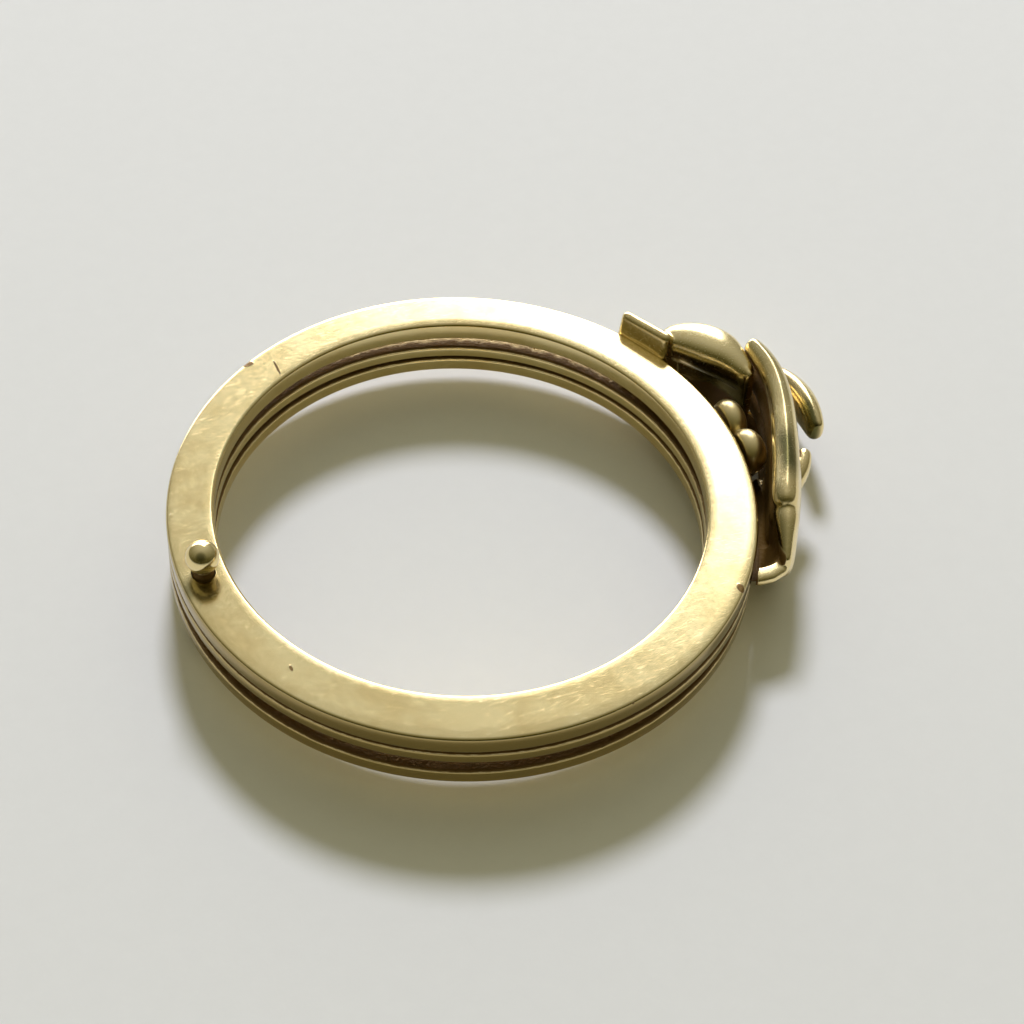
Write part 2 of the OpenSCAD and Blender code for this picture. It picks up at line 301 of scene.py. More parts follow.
class RingColours(bpy.types.PropertyGroup):
    """Colours of the gold, its soiling, the painted shade and reflections, and the studio"""

    gold: FloatVectorProperty(
        name="Gold", description="Clean worn gold",
        default=(0.905, 0.75, 0.395), subtype="COLOR")
    deep_gold: FloatVectorProperty(
        name="Deep gold", description="Handled gold, a little darker",
        default=(0.82, 0.65, 0.31), subtype="COLOR")
    # Painted shade: browner gold laid on the hoops' walls and on one side of the left thumb,
    # where they would mirror the shaded floor and the dark room.
    painted_shade_gold: FloatVectorProperty(
        name="Painted shade gold", description="Browner gold painted as shade on the hoops' walls",
        default=(0.40, 0.30, 0.115), subtype="COLOR")
    # Painted reflection and shade: dark patches where the gold would mirror the dark room or the
    # camera, the ball's reflection on the upper hoop, and shade on the hands' sides in the clasp.
    painted_reflection_and_shade: FloatVectorProperty(
        name="Painted reflection and shade", description="Painted dark reflections and shade on the hands",
        default=(0.085, 0.085, 0.02), subtype="COLOR")
    # Brown soiling in the joints and the clasp, also used as painted shade between the hoops, low
    # in the clasp and round the rivet's foot.
    grime_and_shade: FloatVectorProperty(
        name="Grime and shade", description="Dirt and painted shade in the joints and the clasp",
        default=(0.19, 0.105, 0.022), subtype="COLOR")
    floor: FloatVectorProperty(
        name="Floor", description="Pale paper under the ring",
        default=(0.80, 0.80, 0.79), subtype="COLOR")
    sky: FloatVectorProperty(
        name="Bright side", description="Soft light behind the ring",
        default=(0.54, 0.54, 0.50), subtype="COLOR")
    shade: FloatVectorProperty(
        name="Dim side", description="Dim room beside and above the ring",
        default=(0.25, 0.245, 0.18), subtype="COLOR")
    dark: FloatVectorProperty(
        name="Dark side", description="Dark room in front of the ring",
        default=(0.045, 0.045, 0.016), subtype="COLOR")
    window: FloatVectorProperty(
        name="Window", description="Bright window low behind the ring, seen in the gold",
        default=(7.0, 7.0, 7.4), subtype="COLOR", soft_max=10.0)
    fill: FloatVectorProperty(
        name="Fill", description="Tint of the room's light on the floor",
        default=(1.2, 1.165, 0.91), subtype="COLOR", soft_max=2.0)


def sizes():
    return bpy.context.scene.ring_sizes


def colours():
    return bpy.context.scene.ring_colours


def rim_r():
    """Radius of the hoops' outer walls."""
    return BORE_R + sizes().band_width / MM


def sweep_r():
    """Farthest that the hoops' outer walls reach from the rivet."""
    return math.hypot(PIVOT_R, sizes().rim_shift / MM) + rim_r()


def levels():
    """Top of the stack, underside of the upper hoop and upper face of the lower hoop."""
    s = sizes()
    top = s.stack_height / MM / 2
    return top, top - s.upper_thickness / MM, s.lower_thickness / MM - top


def at_rivet(level):
    """Point on the rivet's axis."""
    return (-PIVOT_R, 0, level)


def about_rivet(angle, out, level):
    """Point at an angle about the rivet and a distance outside the hoops."""
    reach = sweep_r() + out
    a = math.radians(angle)
    return Vector((reach * math.cos(a) - PIVOT_R, reach * math.sin(a), level))


def about_ring(angle, radius, level):
    """Point at an angle about the ring's centre."""
    a = math.radians(angle)
    return Vector((radius * math.cos(a), radius * math.sin(a), level))


def polar(point):
    """Angle about the rivet in degrees and distance outside the hoops."""
    x = point.x + PIVOT_R
    return math.degrees(math.atan2(point.y, x)), math.hypot(x, point.y) - sweep_r()


def deselect():
    if bpy.context.mode != "OBJECT":
        bpy.ops.object.mode_set(mode="OBJECT")
    bpy.ops.object.select_all(action="DESELECT")


def select_only(piece):
    deselect()
    piece.select_set(True)
    bpy.context.view_layer.objects.active = piece


def edit():
    """Starts editing the active piece, with all of its vertices selected."""
    bpy.ops.object.mode_set(mode="EDIT")
    bpy.ops.mesh.select_mode(type="VERT")
    bpy.ops.mesh.select_all(action="SELECT")


def leave_edit():
    bpy.ops.object.mode_set(mode="OBJECT")


def pick(piece, test):
    """In edit mode, selects the vertices whose place passes the test."""
    bpy.ops.mesh.select_all(action="DESELECT")
    leave_edit()
    for vertex in piece.data.vertices:
        vertex.select = test(vertex.co)
    bpy.ops.object.mode_set(mode="EDIT")


def pick_edges(piece, test):
    """In edit mode, selects the edges whose two ends pass the test."""
    bpy.ops.mesh.select_all(action="DESELECT")
    bpy.ops.mesh.select_mode(type="EDGE")
    leave_edit()
    points = piece.data.vertices
    for line in piece.data.edges:
        line.select = test(points[line.vertices[0]].co, points[line.vertices[1]].co)
    bpy.ops.object.mode_set(mode="EDIT")


def apply_transform():
    """Moves the selected piece's place, turn and scale into its mesh."""
    bpy.ops.object.transform_apply(location=True, rotation=True, scale=True)


def apply_modifier(piece, kind, **values):
    """Adds a modifier with these values and applies it."""
    bpy.context.view_layer.objects.active = piece
    modifier = piece.modifiers.new(kind.title(), kind)
    for name, value in values.items():
        setattr(modifier, name, value)
    bpy.ops.object.modifier_apply(modifier=modifier.name)


def cut(piece, tool, operation="DIFFERENCE"):
    """Cuts a tool out of a piece, or adds it, and deletes the tool."""
    select_only(piece)
    apply_modifier(piece, "BOOLEAN", object=tool, operation=operation, solver="EXACT")
    bpy.data.objects.remove(tool, do_unlink=True)


def join(name, parts):
    deselect()
    for part in parts:
        part.select_set(True)
    bpy.context.view_layer.objects.active = parts[0]
    bpy.ops.object.join()
    parts[0].name = parts[0].data.name = name
    return parts[0]


def ball(radius, location, segments=64, stretch=(1, 1, 1)):
    deselect()
    bpy.ops.mesh.primitive_uv_sphere_add(
        segments=segments, ring_count=segments // 2, radius=radius,
        location=location, scale=stretch)
    return bpy.context.object


def cylinder(radius, depth, location, vertices):
    deselect()
    bpy.ops.mesh.primitive_cylinder_add(
        vertices=vertices, radius=radius, depth=depth, location=location)
    return bpy.context.object


def drum(radius, low, high):
    """Cutter about the axis of the hoops' outer walls."""
    centre = (0, -sizes().rim_shift / MM, (low + high) / 2)
    return cylinder(radius, high - low, centre, vertices=256)


def hull(name, parts):
    """One skin spanned over all the parts."""
    form = join(name, parts)
    apply_transform()
    edit()
    bpy.ops.mesh.convex_hull()
    leave_edit()
    return form


def rounded_rectangle(name, width, height, corner, segments, location, heading=0.0):
    """Upright rectangle with rounded corners: the section that a form is swept from.

    It is left in edit mode."""
    deselect()
    bpy.ops.mesh.primitive_plane_add(
        size=1, location=location, rotation=(math.pi / 2, 0, heading))
    section = bpy.context.object
    section.name = section.data.name = name
    section.scale = (width, height, 1)
    apply_transform()
    edit()
    bpy.ops.mesh.bevel(offset=corner, segments=segments, affect="VERTICES")
    return section


def hoop(name, level, thickness, bore_r):
    """Flat hoop: a rounded section spun round the finger, its outer wall set to one side."""
    s = sizes()
    width = rim_r() - bore_r
    corner = s.edge_radius / MM
    middle = bore_r + width / 2
    ring = rounded_rectangle(
        name, width, thickness, corner, segments=5, location=(middle, 0, level))
    bpy.ops.mesh.delete(type="ONLY_FACE")
    pick_edges(ring, lambda a, b: abs(a.z - b.z) < CLOSE and abs(a.x - b.x) > width / 2)
    bpy.ops.mesh.subdivide(number_cuts=5)
    bpy.ops.mesh.select_mode(type="VERT")
    bpy.ops.mesh.select_all(action="SELECT")
    bpy.ops.mesh.spin(steps=s.steps, angle=2 * math.pi, center=(0, 0, 0), axis=(0, 0, 1))
    bpy.ops.mesh.select_all(action="SELECT")
    bpy.ops.mesh.remove_doubles(threshold=CLOSE)
    bpy.ops.mesh.normals_make_consistent(inside=False)
    wall = rim_r() - corner - 10 * CLOSE
    pick(ring, lambda v: math.hypot(v.x, v.y) > wall)
    bpy.ops.transform.translate(value=(0, -s.rim_shift / MM, 0))
    leave_edit()
    return ring


def pierce(ring):
    """Hole for the rivet."""
    radius = sizes().shank_diameter / MM / 2 + BORE_PLAY
    cut(ring, cylinder(radius, 1.5 * FAR, at_rivet(0), vertices=64))


def limb(name, rows, corner):
    """Finger, thumb or back of a hand, extruded from row to row and then smoothed.

    The corner's rounding is a share of the half thickness."""
    way = 1 if rows[-1][ANGLE] > rows[0][ANGLE] else -1
    centres = [about_rivet(r[ANGLE], r[OUT], r[LEVEL]) for r in rows]
    headings = []
    for i in range(len(rows)):
        along = centres[min(i + 1, len(rows) - 1)] - centres[max(i - 1, 0)]
        headings.append(math.atan2(along.y, along.x) - way * math.pi / 2)
    first = rows[0]
    last = rows[-1]
    form = rounded_rectangle(
        name, 2 * first[HALF_T] * SWELL, 2 * first[HALF_W] * SWELL,
        corner * first[HALF_T] * SWELL, segments=2, location=centres[0], heading=headings[0])
    stations = list(zip(centres, headings, rows))
    ahead = (centres[-1] - centres[-2]).normalized()
    for step, share in TIP:
        row = list(last)
        row[HALF_T] *= share
        row[HALF_W] = last[HALF_W] - last[HALF_T] * (1 - share)
        stations.append((centres[-1] + ahead * last[HALF_T] * step, headings[-1], row))
    for (c0, h0, r0), (c1, h1, r1) in zip(stations, stations[1:]):
        bpy.ops.mesh.extrude_region_move(TRANSFORM_OT_translate={"value": c1 - c0})
        bpy.ops.transform.rotate(value=h0 - h1, orient_axis="Z", center_override=c1)
        side = (math.cos(h1), math.sin(h1), 0)
        front = (-math.sin(h1), math.cos(h1), 0)
        bpy.ops.transform.resize(
            value=(r1[HALF_T] / r0[HALF_T], 1, r1[HALF_W] / r0[HALF_W]),
            orient_type="GLOBAL", orient_matrix=(side, front, (0, 0, 1)),
            orient_matrix_type="GLOBAL", center_override=c1)
    bpy.ops.mesh.select_all(action="SELECT")
    bpy.ops.mesh.normals_make_consistent(inside=False)
    leave_edit()
    apply_modifier(form, "SUBSURF", levels=3, render_levels=3)
    return form


def finger(share, swell, tip_angle, half_w):
    """One of the four fingers, FINGER_LINE stretched to its own tip."""
    s = sizes()
    wrist = FINGER_LINE[0][0]
    stretch = (tip_angle - wrist) / (FINGER_LINE[-1][0] - wrist)
    rows = [(
        wrist + (angle - wrist) * stretch,
        s.finger_out / MM + step + swell,
        -FOOT_Z * share,
        s.finger_thickness / MM / 2 * thick,
        half_w * (thick + 1) / 2,
    ) for angle, step, thick in FINGER_LINE]
    return limb("finger", rows, corner=0.95)


def spanned(name, posts):
    """Rounded form spanned between balls set round the ring."""
    return hull(name, [
        ball(radius, about_ring(angle, rim_r() + out, level), segments=32)
        for angle, out, level, radius in posts])


def cuff(name, posts, hollow):
    form = spanned(name, posts)
    cut(form, spanned(name + "_hollow", hollow))
    return form


def solder(name, parts, grain, smooth=6):
    """Runs the parts together into one skin, as cast and soldered metal, and smooths it."""
    body = join(name, parts)
    apply_transform()
    apply_modifier(body, "REMESH", mode="VOXEL", voxel_size=grain)
    apply_modifier(body, "SMOOTH", factor=0.5, iterations=smooth)
    return body


def fit_hand(hand, beyond, passing):
    """Brings a hand back to its height, which the rounding swelled, and frees the hoops.

    Beyond its own hoop the hand keeps off the hole, and where the other hoops pass it keeps
    a gap. Both are ranges of levels."""
    tallest = max(abs(v.co.z) for v in hand.data.vertices)
    select_only(hand)
    edit()
    bpy.ops.transform.resize(
        value=(1, 1, (-FOOT_Z - HAND_CLEAR) / tallest), center_override=(0, 0, 0))
    leave_edit()
    cut(hand, drum(rim_r() - HELD, *beyond))
    cut(hand, drum(rim_r() + sizes().pass_gap / MM, *passing))


def ramp(value, low, high):
    """Smooth step from 0 at low to 1 at high."""
    t = max(0.0, min(1.0, (value - low) / (high - low)))
    return t * t * (3 - 2 * t)


def near(point, centre, radius, fade):
    """1 well inside a radius round a centre, fading to 0 at that radius."""
    return ramp(radius - (point - centre).length, 0.0, fade)


def facing_rivet(p, n):
    """How far a surface on the hands faces the rivet: about 1 straight at it, -1 away."""
    return -(n.x * (p.x + PIVOT_R) + n.y * p.y) / sweep_r()


def mark(piece, name, rule):
    """Stores the share of a finish or of painted shade at each point, from its place and normal,
    for the material.
    """
    mesh = piece.data
    layer = mesh.attributes.new(name, "FLOAT", "POINT")
    values = [max(0.0, min(1.0, rule(v.co, v.normal))) for v in mesh.vertices]
    layer.data.foreach_set("value", values)


def painted_wall_shade(p, n):
    """Painted shade on a hoop's walls, as browner gold, more on the outer wall than on the inner
    one.
    """
    outward = n.x * p.x + n.y * p.y > 0
    return (1 - ramp(abs(n.z), 0.3, 0.8)) * (1.0 if outward else 0.2)


def face_grime_and_shade(p, rise):
    """Brown soiling and painted shade on a hoop's face: thick near both walls, in patches between
    them.

    The rise is how far the point's normal turns towards the hoop that covers the face."""
    reach = math.hypot(p.x, p.y)
    outer = ramp(reach, rim_r() - 0.6, rim_r() - 0.3)
    inner = ramp(-reach, -BORE_R - 0.5, -BORE_R - 0.25)
    return ramp(rise, 0.3, 0.9) * (0.4 + 0.6 * max(outer, inner))


def settle(piece, body, node, sharp=40.0):
    """Brings a finished piece to metres, gives it its finish and ties it to its body."""
    select_only(piece)
    piece.scale = (MM, MM, MM)
    piece.location = piece.location * MM
    apply_transform()
    bpy.ops.object.shade_smooth_by_angle(angle=math.radians(sharp))
    piece.data.materials.clear()
    piece.data.materials.append(worn_gold_with_painted_shade())
    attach(piece, body)
    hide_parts(node)


def link(tree, output, socket):
    tree.links.new(output, socket)


def add_node(tree, kind, **values):
    made = tree.nodes.new(kind)
    for name, value in values.items():
        setattr(made, name, value)
    return made


def stored(tree, name):
    """Share that mark() stored under this name."""
    return add_node(tree, "ShaderNodeAttribute", attribute_name=name).outputs["Fac"]


def noise(tree, place, scale, detail, rough):
    """Noise with this many waves in a metre."""
    made = add_node(tree, "ShaderNodeTexNoise")
    made.inputs["Scale"].default_value = scale
    made.inputs["Detail"].default_value = detail
    made.inputs["Roughness"].default_value = rough
    link(tree, place, made.inputs["Vector"])
    return made.outputs["Fac"]


def remap(tree, value, low, high, to_low=0.0, to_high=1.0):
    made = add_node(tree, "ShaderNodeMapRange")
    link(tree, value, made.inputs["Value"])
    made.inputs["From Min"].default_value = low
    made.inputs["From Max"].default_value = high
    made.inputs["To Min"].default_value = to_low
    made.inputs["To Max"].default_value = to_high
    return made.outputs["Result"]


def calc(tree, operation, first, second):
    made = add_node(tree, "ShaderNodeMath", operation=operation)
    for socket, value in zip(made.inputs, (first, second)):
        if isinstance(value, (int, float)):
            socket.default_value = value
        else:
            link(tree, value, socket)
    return made.outputs["Value"]


def vector(tree, operation, first, second=None):
    """Vector arithmetic with a constant."""
    made = add_node(tree, "ShaderNodeVectorMath", operation=operation)
    link(tree, first, made.inputs[0])
    if second is not None:
        made.inputs[1].default_value = second
    return made.outputs["Value" if operation in ("LENGTH", "DOT_PRODUCT") else "Vector"]


def mix_colour(tree, factor, first, second):
    made = add_node(tree, "ShaderNodeMix", data_type="RGBA")
    link(tree, factor, made.inputs["Factor"])
    for socket, value in ((made.inputs["A"], first), (made.inputs["B"], second)):
        if isinstance(value, (tuple, list)):
            socket.default_value = value
        else:
            link(tree, value, socket)
    return made.outputs["Result"]


def ramp_colour(tree, factor, stops):
    """Colour that passes through these stops."""
    made = add_node(tree, "ShaderNodeValToRGB")
    link(tree, factor, made.inputs["Fac"])
    elements = made.color_ramp.elements
    elements.remove(elements[1])
    elements[0].position, elements[0].color = stops[0][0], (*stops[0][1], 1)
    for place, colour in stops[1:]:
        elements.new(place).color = (*colour, 1)
    return made.outputs["Color"]


def bump(tree, height, strength, distance, under=None, invert=False):
    """Normal of a bump, laid over another bump's normal if there is one."""
    made = add_node(tree, "ShaderNodeBump", invert=invert)
    made.inputs["Strength"].default_value = strength
    made.inputs["Distance"].default_value = distance
    link(tree, height, made.inputs["Height"])
    if under is not None:
        link(tree, under, made.inputs["Normal"])
    return made.outputs["Normal"]


def stretched(tree, place, angle, stretch):
    """Coordinates turned about Z and stretched along one way, for scratches."""
    made = add_node(tree, "ShaderNodeMapping")
    made.inputs["Rotation"].default_value = (0, 0, math.radians(angle))
    made.inputs["Scale"].default_value = (stretch, 1, 1)
    link(tree, place, made.inputs["Vector"])
    return made.outputs["Vector"]


def spot(tree, place, centre, radius, stretch):
    """Share of a small mark, 1 at its centre and 0 outside its radius, in millimetres."""
    offset = vector(tree, "SUBTRACT", place, [v * MM for v in centre])
    length = vector(tree, "LENGTH", vector(tree, "MULTIPLY", offset, stretch))
    return remap(tree, length, low=radius * MM, high=radius * MM / 2)


def worn_gold_with_painted_shade():
    """Pale yellow gold, polished long ago: fine scratches, soft waves, brown soiling, and painted
    shade and reflections.
    """
    existing = bpy.data.materials.get("worn_gold_with_painted_shade")
    if existing:
        return existing
    c = colours()
    material = bpy.data.materials.new("worn_gold_with_painted_shade")
    material.use_nodes = True
    tree = material.node_tree
    tree.nodes.clear()
    output = add_node(tree, "ShaderNodeOutputMaterial")
    shader = add_node(tree, "ShaderNodeBsdfPrincipled")
    link(tree, shader.outputs["BSDF"], output.inputs["Surface"])
    place = add_node(tree, "ShaderNodeTexCoord").outputs["Object"]

    clouds = noise(tree, place, scale=420.0, detail=5.0, rough=0.6)
    handled = remap(tree, clouds, low=0.42, high=0.62)
    metal = mix_colour(tree, handled, (*c.gold, 1), (*c.deep_gold, 1))
    # Painted shade on the walls and a thumb, as browner gold.
    metal = mix_colour(tree, stored(tree, "painted_shade_gold"), metal, (*c.painted_shade_gold, 1))
    # Painted dark reflections and shade on the hands, the upper hoop and the ball.
    metal = mix_colour(tree, stored(tree, "painted_reflection_and_shade"), metal, (*c.painted_reflection_and_shade, 1))

    # Soiling together with painted shade, made uneven, with the pits as real dark marks.
    blotches = noise(tree, place, scale=2600.0, detail=6.0, rough=0.65)
    uneven = remap(tree, blotches, low=0.25, high=0.75, to_low=0.65, to_high=1.35)
    dirt_and_shade_raw = calc(tree, "MULTIPLY", stored(tree, "grime_and_shade"), uneven)
    for centre, radius, stretch in PITS:
        dirt_and_shade_raw = calc(tree, "MAXIMUM", dirt_and_shade_raw, spot(tree, place, centre, radius, stretch))
    dirt_and_shade = remap(tree, dirt_and_shade_raw, low=0.35, high=0.75)
    link(tree, mix_colour(tree, dirt_and_shade, metal, (*c.grime_and_shade, 1)), shader.inputs["Base Color"])
    metallic = remap(tree, dirt_and_shade, low=0.0, high=1.0, to_low=1.0, to_high=0.6)
    link(tree, metallic, shader.inputs["Metallic"])

    scratches = None
    for angle in (12.0, 63.0, 118.0, 160.0):
        drawn = stretched(tree, place, angle, stretch=0.12)
        lines = noise(tree, drawn, scale=16500.0, detail=2.0, rough=0.5)
        layer = remap(tree, lines, low=0.665, high=0.75)
        scratches = layer if scratches is None else calc(tree, "MAXIMUM", scratches, layer)
    haze = noise(tree, place, scale=5000.0, detail=6.0, rough=0.75)
    rough = remap(tree, haze, low=0.3, high=0.7, to_low=0.125, to_high=0.19)
    for cause, share in ((scratches, 0.08), (dirt_and_shade, 0.35), (stored(tree, "satin"), 0.2)):
        rough = calc(tree, "ADD", rough, calc(tree, "MULTIPLY", cause, share))
    link(tree, rough, shader.inputs["Roughness"])

    slow = noise(tree, place, scale=700.0, detail=2.0, rough=0.4)
    quick = noise(tree, place, scale=7000.0, detail=5.0, rough=0.7)
    waves = calc(tree, "ADD", slow, calc(tree, "MULTIPLY", quick, 0.22))
    crumbs = noise(tree, place, scale=9000.0, detail=4.0, rough=0.6)
    crust = calc(tree, "MULTIPLY", dirt_and_shade, crumbs)
    normal = bump(tree, waves, strength=0.06, distance=0.06 * MM)
    normal = bump(
        tree, scratches, strength=0.09, distance=0.006 * MM, under=normal, invert=True)
    normal = bump(tree, crust, strength=0.8, distance=0.04 * MM, under=normal)
    link(tree, normal, shader.inputs["Normal"])
    shader.inputs["Coat Weight"].default_value = 0.15
    shader.inputs["Coat Roughness"].default_value = 0.38
    return material


def toward(back, azimuth, elevation):
    """Direction at an angle to the right of straight back and an angle above the floor."""
    right = Vector((back.y, -back.x, 0))
    a = math.radians(azimuth)
    e = math.radians(elevation)
    return (back * math.cos(a) + right * math.sin(a)) * math.cos(e) + Vector((0, 0, math.sin(e)))


def aim(item, way):
    """Turns a lamp or a camera to look this way."""
    item.rotation_euler = way.to_track_quat("-Z", "Y").to_euler()


class RING_OT_bands(bpy.types.Operator):
    """Model the three hoops"""

    bl_idname = "ring.bands"
    bl_label = "Hoops"

    def execute(self, context):
        s = sizes()
        top, upper_z, lower_z = levels()
        upper_t = s.upper_thickness / MM
        lower_t = s.lower_thickness / MM

        upper = hoop("upper_band", top - upper_t / 2, upper_t, BORE_R)
        pierce(upper)
        foot = Vector(at_rivet(top))
        ball_reflection_centre = foot + Vector((-0.26, -0.54, 0))
        # Painted shadow round the rivet's foot, on top of the soiling and painted shade of the
        # face.
        mark(upper, "grime_and_shade", lambda p, n: max(
            face_grime_and_shade(p, -n.z), 0.7 * near(p, foot, radius=0.55, fade=0.25)))
        # Painted reflection and shadow of the ball on the face, set off towards the camera.
        mark(upper, "painted_reflection_and_shade", lambda p, n: 0.75 * near(p, ball_reflection_centre, radius=0.78, fade=0.4))
        mark(upper, "painted_shade_gold", painted_wall_shade)
        mark(upper, "satin", lambda p, n: 0.12 * ramp(n.z, 0.9, 0.99))
        settle(upper, "upper", "upper_hoop")

        middle = hoop("middle_band", 0, s.middle_thickness / MM, BORE_R + BORE_EASE)
        middle.location.z = (upper_z + lower_z) / 2
        axis = Vector((-math.sin(s.low_side), math.cos(s.low_side), 0))
        middle.rotation_mode = "AXIS_ANGLE"
        middle.rotation_axis_angle = (s.tilt, *axis)
        select_only(middle)
        apply_transform()
        pierce(middle)
        mark(middle, "grime_and_shade", lambda p, n: face_grime_and_shade(p, abs(n.z)))
        mark(middle, "painted_shade_gold", painted_wall_shade)
        settle(middle, "middle", "middle_hoop")

        lower = hoop("lower_band", lower_t / 2 - top, lower_t, BORE_R)
        pierce(lower)
        mark(lower, "grime_and_shade", lambda p, n: face_grime_and_shade(p, n.z))
        mark(lower, "painted_shade_gold", painted_wall_shade)
        settle(lower, "lower", "lower_hoop")
        return {"FINISHED"}


class RING_OT_left_hand(bpy.types.Operator):
    """Model the hand and cuff on the upper hoop"""

    bl_idname = "ring.left_hand"
    bl_label = "Left hand"

    def execute(self, context):
        top, upper_z, _ = levels()
        hand = solder("left_hand", [
            cuff("left_cuff", LEFT_CUFF, LEFT_CUFF_HOLLOW),
            limb("left_back", LEFT_BACK, corner=0.75),
            limb("left_roll", LEFT_ROLL, corner=0.7),
            limb("left_thumb", LEFT_THUMB, corner=0.9),
        ], sizes().grain / MM)
        fit_hand(hand, beyond=(top, FAR), passing=(-FAR, upper_z))

        def clasp_grime_and_shade(p, n):
            """Brown soiling and painted shade low in the clasp, on what faces the hoops."""
            out = polar(p)[1]
            inward = ramp(facing_rivet(p, n), 0.0, 0.5)
            return inward * ramp(-p.z, -0.45, 0.25) * ramp(-out, -1.9, -1.5)

        def painted_thumb_shade(p, n):
            """Painted shade, as browner gold, on the thumb's side towards the cuff."""
            out = polar(p)[1]
            return 0.85 * ramp(out, 2.3, 2.7) * ramp(-n.x, -0.2, 0.6)

        def painted_dark_patches(p, n):
            """Painted dark reflections on the inner side of the thumb's end, and along the back
            below its roll.
            """
            angle, out = polar(p)
            inward = ramp(facing_rivet(p, n), -0.35, 0.35)
            thumb = 0.9 * ramp(out, 2.3, 2.7) * inward * ramp(2.5 - angle, 0.0, 2.0)
            back = 0.85 * ramp(1.65 - p.z, 0.0, 0.4) * ramp(1.9 - out, 0.0, 0.4)
            back *= ramp(9.8 - angle, 0.0, 1.5)
            return max(thumb, back * inward)

        mark(hand, "grime_and_shade", clasp_grime_and_shade)
        mark(hand, "painted_shade_gold", painted_thumb_shade)
        mark(hand, "painted_reflection_and_shade", painted_dark_patches)
        mark(hand, "satin", lambda p, n: 0.35)
        settle(hand, "upper", "upper_hoop", sharp=60)
        return {"FINISHED"}


class RING_OT_right_hand(bpy.types.Operator):
    """Model the hand and cuff on the lower hoop"""

    bl_idname = "ring.right_hand"
    bl_label = "Right hand"

    def execute(self, context):
        top, _, lower_z = levels()
        hand = solder("right_hand", [
            cuff("right_cuff", RIGHT_CUFF, RIGHT_CUFF_HOLLOW),
            limb("right_back", RIGHT_BACK, corner=0.8),
            limb("right_root", RIGHT_ROOT, corner=0.5),
            limb("right_heel", RIGHT_HEEL, corner=0.95),
            limb("right_thumb", RIGHT_THUMB, corner=0.9),
            *(finger(*row) for row in FINGERS),
        ], sizes().grain / MM)
        fit_hand(hand, beyond=(-FAR, -top), passing=(lower_z, FAR))

        def clasp_grime_and_shade(p, n):
            """Brown soiling and painted shade in the palm, and on what faces the hoops below an
            edge that drops at the wrist.
            """
            angle, out = polar(p)
            palm = ramp(1.3 + 0.075 * angle - out, 0.0, 0.25) * ramp(-p.z, -0.9, -0.3)
            palm *= ramp(angle, -19.2, -17.8)
            edge = 1.55 if angle > -12.5 else 0.8
            inward = ramp(facing_rivet(p, n), 0.0, 0.5)
            return max(palm, inward * ramp(-p.z, -edge - 0.3, -edge))

        def painted_dark_patches(p, n):
            """Painted dark reflections in a bar along the top of the hand and on a duller
            fingertip, and painted shade on the sides in the clasp.
            """
            angle, out = polar(p)
            aside = abs(out - 1.1 - 0.085 * (angle + 7.8))
            bar = ramp(p.z, 1.2, 1.7) * ramp(angle, -12.2, -9.0) * ramp(-angle, 2.8, 6.6)
            bar *= ramp(0.52 - aside, 0.0, 0.42)
            fingertip = 0.22 * ramp(p.z, 1.0, 1.5) * ramp(angle, -4.0, 0.0)
            inward = ramp(facing_rivet(p, n), 0.2, 0.8)
            return max(0.9 * bar, fingertip, 0.45 * inward * ramp(-angle, 2.0, 4.0))

        mark(hand, "grime_and_shade", clasp_grime_and_shade)
        mark(hand, "painted_reflection_and_shade", painted_dark_patches)
        mark(hand, "satin", lambda p, n: 0.35)
        settle(hand, "lower", "lower_hoop", sharp=60)
        return {"FINISHED"}


class RING_OT_heart(bpy.types.Operator):
    """Model the heart and its seat on the middle hoop"""

    bl_idname = "ring.heart"
    bl_label = "Heart"

    def execute(self, context):
        s = sizes()
        width = s.heart_width / MM
        height = s.heart_height / MM
        front = sweep_r() - PIVOT_R + s.heart_out / MM
        centre_y = -0.35
        centre_z = -0.25
        lobe_r = 0.82
        lobe_y = round(width / 2 - lobe_r, 4)
        lobe_drop = 0.1
        lobe_depth = 0.6
        point_r = 0.3
        point_depth = 0.38
        halves = []
        for side in (-1, 1):
            halves.append(hull("heart_half", [
                ball(r, (front - depth, centre_y + y, centre_z + z), stretch=(depth / r, 1, 1))
                for y, z, r, depth in (
                    (side * lobe_y, height / 2 - lobe_r - lobe_drop, lobe_r, lobe_depth),
                    (0, point_r - height / 2, point_r, point_depth),
                )]))
        heart, other = halves
        cut(heart, other, operation="UNION")
        heart = solder("heart", [heart], grain=0.03, smooth=8)
        hoops_way = sweep_r() + s.pass_gap / MM / 2
        cut(heart, cylinder(hoops_way, 2 * FAR, at_rivet(0), vertices=512))
        heart = solder("heart", [heart], grain=0.025, smooth=14)

        _, upper_z, lower_z = levels()
        drop = rim_r() * math.sin(s.tilt) * math.cos(s.low_side)
        seat_z = (upper_z + lower_z) / 2 - drop
        seat_w = 0.6375 * width
        seat_t = s.middle_thickness / MM - 0.15
        root = 0.5
        behind_front = 0.3
        length = root + s.heart_out / MM - behind_front
        deselect()
        bpy.ops.mesh.primitive_cube_add(
            size=1, location=(rim_r() - root + length / 2, centre_y, seat_z),
            scale=(length, seat_w, seat_t))
        seat = bpy.context.object
        apply_transform()
        edit()
        bpy.ops.mesh.bevel(offset=0.06, segments=3, affect="EDGES")
        leave_edit()
        heart = join("heart", [heart, seat])
        # Darker towards the heart's bottom, from a little above its middle down.
        mark(heart, "grime_and_shade", lambda p, n: ramp(-p.z, -0.4, 0.35))
        mark(heart, "satin", lambda p, n: 1.0)
        settle(heart, "middle", "middle_hoop", sharp=60)
        return {"FINISHED"}


